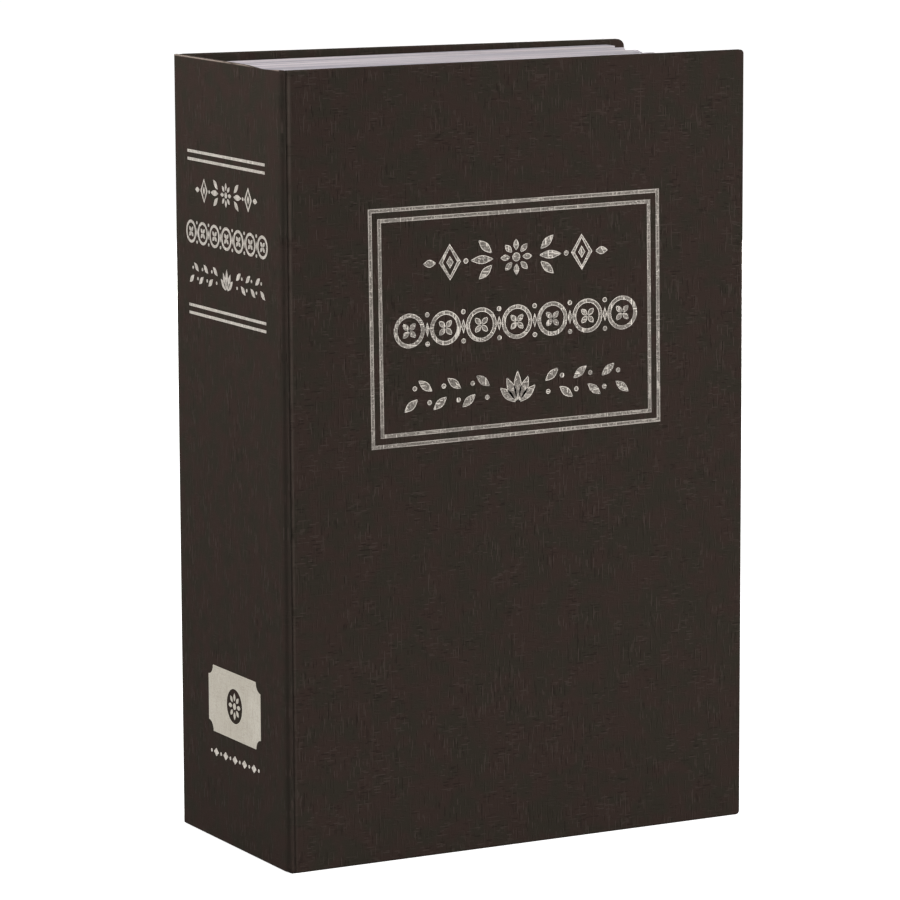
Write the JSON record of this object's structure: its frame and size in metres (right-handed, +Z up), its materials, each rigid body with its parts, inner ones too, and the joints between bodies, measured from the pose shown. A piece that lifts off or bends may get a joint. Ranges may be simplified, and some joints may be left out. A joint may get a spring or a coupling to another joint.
{
  "type": "book diversion safe",
  "caption": "Upright hardback book with a scooped imitation page block; its cloth cover opens on a keyed steel box with a hinged lid and cam lock.",
  "frame": {"origin": "middle of the closed book's footprint, on the surface that its tail stands on", "axes": "+X from the spine to the fore-edge, +Y from the front cover to the back cover, +Z up to the head"},
  "size_m": [0.158, 0.075, 0.24],
  "materials": {
    "bookcloth": "matte",
    "foil": "satin",
    "board": "matte",
    "endpaper": "matte",
    "page_plastic": "matte",
    "box_paint": "satin",
    "zinc_steel": "satin",
    "lock_chrome": "polished",
    "wafer_brass": "satin"
  },
  "bodies": {
    "case": {"spine_board": "board", "spine_cloth": "bookcloth", "spine_lining": "endpaper", "back_board": "board", "back_cover_cloth": "bookcloth", "back_endpaper": "endpaper", "back_hinge_cloth": "bookcloth", "front_hinge_cloth": "bookcloth", "page_frame": "page_plastic", "box_body": "box_paint", "box_hinge_leaf": "box_paint", "hinge_pin": "zinc_steel", "keeper_bracket": "zinc_steel", "keeper_rivet_lower": "zinc_steel", "keeper_rivet_upper": "zinc_steel"},
    "front_cover": {"front_board": "board", "front_cover_cloth": "bookcloth", "front_endpaper": "endpaper"},
    "lid": {"box_lid": "box_paint", "lid_hinge_leaf": "box_paint", "lock_barrel": "lock_chrome", "lock_washer": "zinc_steel", "lock_nut": "zinc_steel"},
    "turning_plug": {"lock_plug": "lock_chrome", "lock_cam": "zinc_steel", "cam_washer": "zinc_steel", "cam_screw": "zinc_steel", "lock_wafer_1": "wafer_brass", "lock_wafer_2": "wafer_brass", "lock_wafer_3": "wafer_brass", "lock_wafer_4": "wafer_brass"}
  },
  "joints": [
    {"name": "cover_hinge", "type": "hinge", "parent": "case", "child": "front_cover", "pos_m": [-0.077, -0.0375, 0.12], "axis": [0, 0, -1], "range_deg": [0, 175]},
    {"name": "lid_hinge", "type": "hinge", "parent": "case", "child": "lid", "pos_m": [-0.0756, -0.0328, 0.12], "axis": [0, 0, -1], "range_deg": [0, 97]},
    {"name": "lock_turn", "type": "hinge", "parent": "lid", "child": "turning_plug", "pos_m": [0.042, -0.0321, 0.12], "axis": [0, -1, 0], "range_deg": [0, 90]}
  ],
  "couplings": [
    {"joint": "lid_hinge", "follows": "cover_hinge", "ratio": 0.55}
  ]
}
